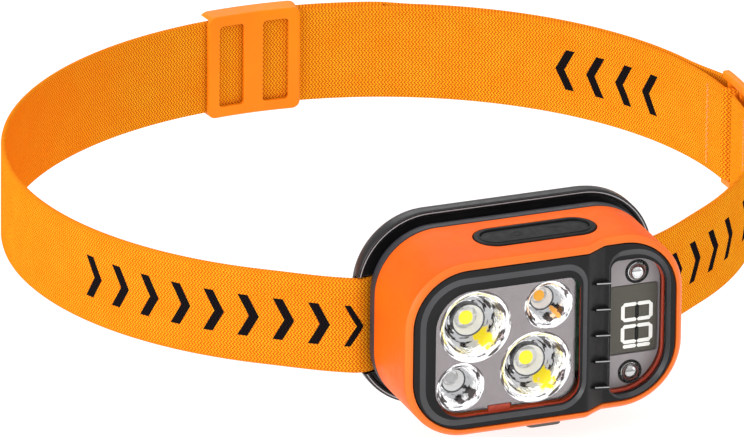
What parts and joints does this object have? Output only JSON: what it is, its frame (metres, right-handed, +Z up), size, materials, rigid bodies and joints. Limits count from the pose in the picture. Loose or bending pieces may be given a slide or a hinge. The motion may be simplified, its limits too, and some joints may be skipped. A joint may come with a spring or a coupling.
{
  "type": "headlamp",
  "caption": "Rechargeable headlamp: tilting lamp head with reflector lamps and charge display on a padded bracket, with an adjustable elastic headband.",
  "frame": {"origin": "the forehead pad's flat rear face, halfway up the headband", "axes": "+Y into the wearer's forehead, so the lamp shines towards -Y at rest; +Z up; +X to the right of someone who faces the lamp"},
  "size_m": [0.1943, 0.2076, 0.0544],
  "materials": {
    "orange_plastic": "satin moulded",
    "buckle_plastic": "satin moulded",
    "black_plastic": "satin moulded",
    "black_rubber": "matt silicone",
    "red_silicone": "satin silicone",
    "clear_lens": "polished",
    "chrome": "mirror",
    "steel": "satin",
    "circuit_board": "solder mask",
    "lamp_board": "white solder mask",
    "battery_film": "shrink film",
    "display_face": "smoked",
    "panel_grey": "satin",
    "phosphor": "clear dome over yellow phosphor",
    "clear_led": "clear dome",
    "foam": "closed-cell foam",
    "webbing": "woven elastic"
  },
  "bodies": {
    "root": {"bracket_plate": "black_plastic", "forehead_pad": "foam", "hinge_pin": "steel", "headband": "webbing", "return_strap": "webbing", "end_ring": "buckle_plastic"},
    "head": {"front_shell": "orange_plastic", "rear_housing": "black_plastic", "housing_gasket": "black_rubber", "housing_screw_1": "steel", "housing_screw_2": "steel", "housing_screw_3": "steel", "housing_screw_4": "steel", "front_bezel": "black_plastic", "main_lens": "clear_lens", "main_lens_seal": "red_silicone", "display_lens": "clear_lens", "display_lens_seal": "red_silicone", "reflector": "chrome", "spot_led": "phosphor", "flood_led": "phosphor", "amber_led": "phosphor", "red_led": "clear_led", "led_board": "lamp_board", "main_board": "circuit_board", "battery": "battery_film", "battery_tray": "black_plastic", "switch_board": "circuit_board", "power_switch": "steel", "sensor_switch": "steel", "usb_socket": "steel", "display_panel": "panel_grey", "display_module": "display_face", "signal_led": "chrome", "motion_sensor": "clear_led", "button_pad": "black_rubber"},
    "power_key": {"power_key": "black_rubber"},
    "sensor_key": {"sensor_key": "black_rubber"},
    "slider": {"slider_buckle": "buckle_plastic"}
  },
  "joints": [
    {"name": "head_tilt", "type": "hinge", "parent": "root", "child": "head", "pos_m": [0, -0.0093, -0.0239], "axis": [1, 0, 0], "range_deg": [0, 60]},
    {"name": "power_key_press", "type": "slide", "parent": "head", "child": "power_key", "axis": [0, 0, -1], "range_m": [0, 0.0005], "stiffness_N_per_m": 1500, "springref_m": -0.0001},
    {"name": "sensor_key_press", "type": "slide", "parent": "head", "child": "sensor_key", "axis": [0, 0, -1], "range_m": [0, 0.0005], "stiffness_N_per_m": 1500, "springref_m": -0.0001},
    {"name": "slider_travel", "type": "hinge", "parent": "root", "child": "slider", "pos_m": [0, 0.0706, 0], "axis": [0, 0, 1], "range_deg": [-28, 28], "deforming": ["return_strap"]}
  ]
}
